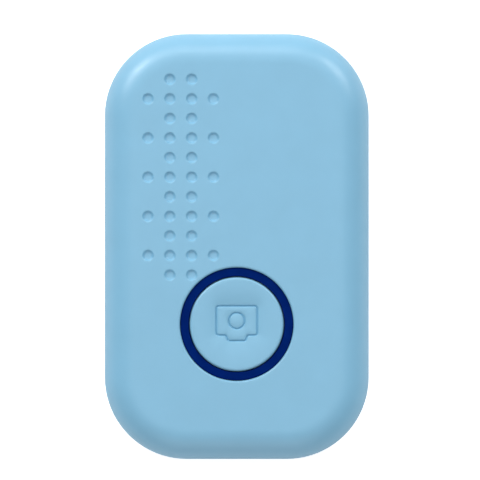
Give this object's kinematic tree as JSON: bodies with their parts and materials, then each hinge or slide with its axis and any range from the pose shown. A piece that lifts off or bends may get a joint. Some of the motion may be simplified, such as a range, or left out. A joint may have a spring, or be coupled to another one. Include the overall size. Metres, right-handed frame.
{
  "type": "bluetooth tracker tag",
  "caption": "Pocket-size wireless finder tag with a round push button in a light ring, a dimpled face and a coin-cell door that unscrews from the back.",
  "frame": {"origin": "middle of the back, level with the flat surface that the tag lies on", "axes": "+Z out of the face, +Y along the length towards the end with the dimples, +X across the width"},
  "size_m": [0.0322, 0.052, 0.0084],
  "materials": {
    "case_plastic": "satin moulded, pale sky blue",
    "ring_plastic": "translucent navy, gloss",
    "grey_silicone": "matte silicone",
    "dark_rubber": "matte",
    "foam": "closed-cell foam",
    "screw_steel": "zinc plated",
    "cell_steel": "nickel plated, fine brushed",
    "cell_gasket": "matte",
    "cell_mass": "pressed powder",
    "cradle_plastic": "natural, matte",
    "gold_spring": "gold plated",
    "board": "green solder mask, satin",
    "copper": "bright copper",
    "chip_black": "moulded, matte",
    "crystal_can": "satin",
    "ferrite": "ferrite, matte",
    "ceramic_tan": "ceramic",
    "led_white": "clear-topped",
    "switch_steel": "spring steel, satin",
    "stem_plastic": "white",
    "tape": "double-sided tape",
    "buzzer_brass": "rolled",
    "piezo_ceramic": "silvered ceramic"
  },
  "bodies": {
    "case": {"front_shell": "case_plastic", "back_shell": "case_plastic", "case_seal": "dark_rubber", "case_screws": "screw_steel", "light_ring": "ring_plastic", "button_washer": "grey_silicone", "cell_can": "cell_steel", "cell_gasket": "cell_gasket", "cell_core": "cell_mass", "cell_cap": "cell_steel", "battery_cradle": "cradle_plastic", "positive_contact": "gold_spring", "negative_contact": "gold_spring", "main_board": "board", "antenna_trace": "copper", "test_pads": "gold_spring", "board_screws": "screw_steel", "radio_chip": "chip_black", "radio_crystal": "crystal_can", "clock_crystal": "crystal_can", "boost_inductor": "ferrite", "buzzer_driver": "chip_black", "chip_capacitors": "ceramic_tan", "chip_resistors": "chip_black", "ring_leds": "led_white", "switch_base": "chip_black", "switch_dome": "switch_steel", "switch_cover": "switch_steel", "buzzer_tape": "tape", "buzzer_plate": "buzzer_brass", "buzzer_ceramic": "piezo_ceramic", "buzzer_pins": "gold_spring"},
    "button": {"button_cap": "case_plastic", "switch_stem": "stem_plastic"},
    "door_seal_ring": {"door_seal": "dark_rubber"},
    "battery_door": {"battery_door": "case_plastic", "door_pad": "foam"}
  },
  "joints": [
    {"name": "button_press", "type": "slide", "parent": "case", "child": "button", "axis": [0, 0, -1], "range_m": [0, 0.0003], "stiffness_N_per_m": 1500, "springref_m": -0.0003, "deforming": ["switch_dome"]},
    {"name": "door_lift", "type": "slide", "parent": "case", "child": "door_seal_ring", "axis": [0, 0, -1], "range_m": [0, 0.004]},
    {"name": "door_turn", "type": "hinge", "parent": "door_seal_ring", "child": "battery_door", "pos_m": [0, -0.007, 0], "axis": [0, 0, -1], "range_deg": [0, 120]}
  ],
  "couplings": [
    {"joint": "door_turn", "follows": "door_lift", "rad_per_m": 523.6}
  ]
}
